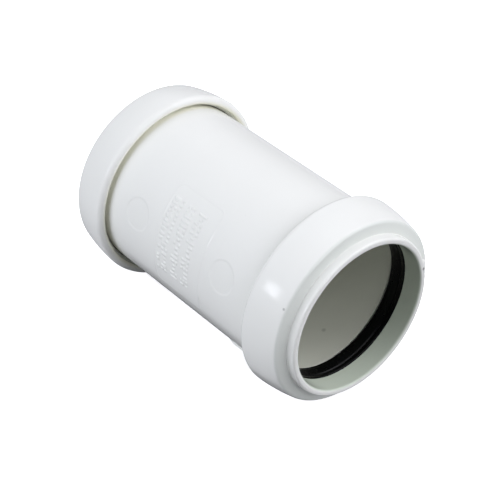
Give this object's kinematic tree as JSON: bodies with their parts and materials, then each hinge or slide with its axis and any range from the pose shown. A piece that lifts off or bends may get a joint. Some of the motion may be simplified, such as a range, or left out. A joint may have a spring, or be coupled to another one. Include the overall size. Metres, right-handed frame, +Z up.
{
  "type": "push fit coupling",
  "caption": "Straight push fit coupling for waste pipe: a moulded tube body with a socket, a rubber seal ring and a snap-fitted retaining cap at each end.",
  "frame": {"origin": "centre of the fitting, midway between the mouths on the pipe axis, which is the centre of its bounding box", "axes": "+X along the pipe axis to the near mouth (mouth_a), +Z up with the fitting lying on its side, +Y completes the right-handed frame"},
  "size_m": [0.0876, 0.0546, 0.0546],
  "materials": {
    "body_plastic": "satin white polypropylene",
    "cap_plastic": "satin white polypropylene",
    "seal_rubber": "matt black moulded rubber"
  },
  "bodies": {
    "fitting": {"coupling_body": "body_plastic", "seal_ring_a": "seal_rubber", "seal_ring_b": "seal_rubber"},
    "cap_a": {"retaining_cap_a": "cap_plastic"},
    "cap_b": {"retaining_cap_b": "cap_plastic"}
  },
  "joints": [
    {"name": "cap_a_turn", "type": "hinge", "parent": "fitting", "child": "cap_a", "pos_m": [0.0345, 0, 0], "axis": [1, 0, 0], "continuous": true},
    {"name": "cap_b_turn", "type": "hinge", "parent": "fitting", "child": "cap_b", "pos_m": [-0.0345, 0, 0], "axis": [1, 0, 0], "continuous": true}
  ]
}
